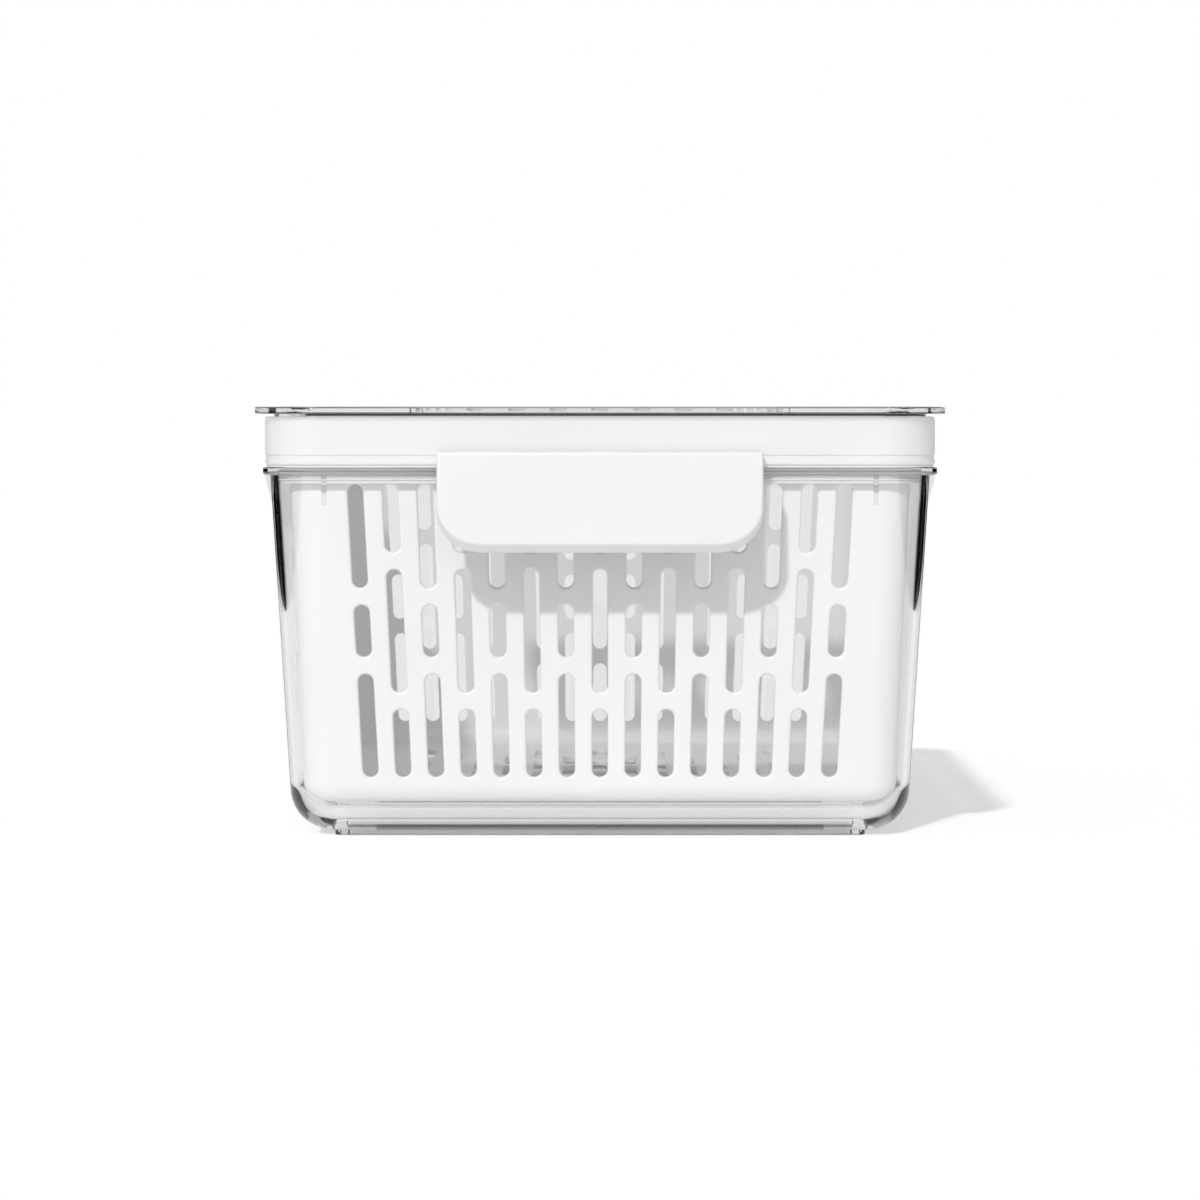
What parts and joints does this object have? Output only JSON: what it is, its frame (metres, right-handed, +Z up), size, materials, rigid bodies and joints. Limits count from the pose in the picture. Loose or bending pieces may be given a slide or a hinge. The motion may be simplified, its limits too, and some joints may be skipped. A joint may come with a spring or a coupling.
{
  "type": "produce keeper",
  "caption": "Clear lidded produce keeper with a white slotted basket inside, a front pull, and a lid with a sliding vent.",
  "frame": {"origin": "middle of the whole footprint on the surface it stands on, pull included", "axes": "+Z up, the pull faces -Y, +X to the right seen from the front"},
  "size_m": [0.211, 0.3136, 0.1317],
  "materials": {
    "clear_plastic": "clear polished",
    "white_plastic": "satin",
    "silicone": "translucent matte"
  },
  "bodies": {
    "base": {"tub": "clear_plastic", "handle_cover": "white_plastic"},
    "basket": {"basket": "white_plastic"},
    "lid": {"lid_frame": "white_plastic", "lid_seal": "silicone", "lid_panel": "clear_plastic", "vent_gasket": "silicone"},
    "vent": {"vent_slider": "white_plastic", "vent_retainer": "white_plastic"}
  },
  "joints": [
    {"name": "lid_lift", "type": "slide", "parent": "base", "child": "lid", "axis": [0, 0, 1], "range_m": [0, 0.3]},
    {"name": "basket_lift", "type": "slide", "parent": "base", "child": "basket", "axis": [0, 0, 1], "range_m": [0, 0.135]},
    {"name": "vent_slide", "type": "slide", "parent": "lid", "child": "vent", "axis": [1, 0, 0], "range_m": [0, 0.0067]}
  ],
  "couplings": [
    {"joint": "basket_lift", "follows": "lid_lift", "ratio": 0.45}
  ]
}
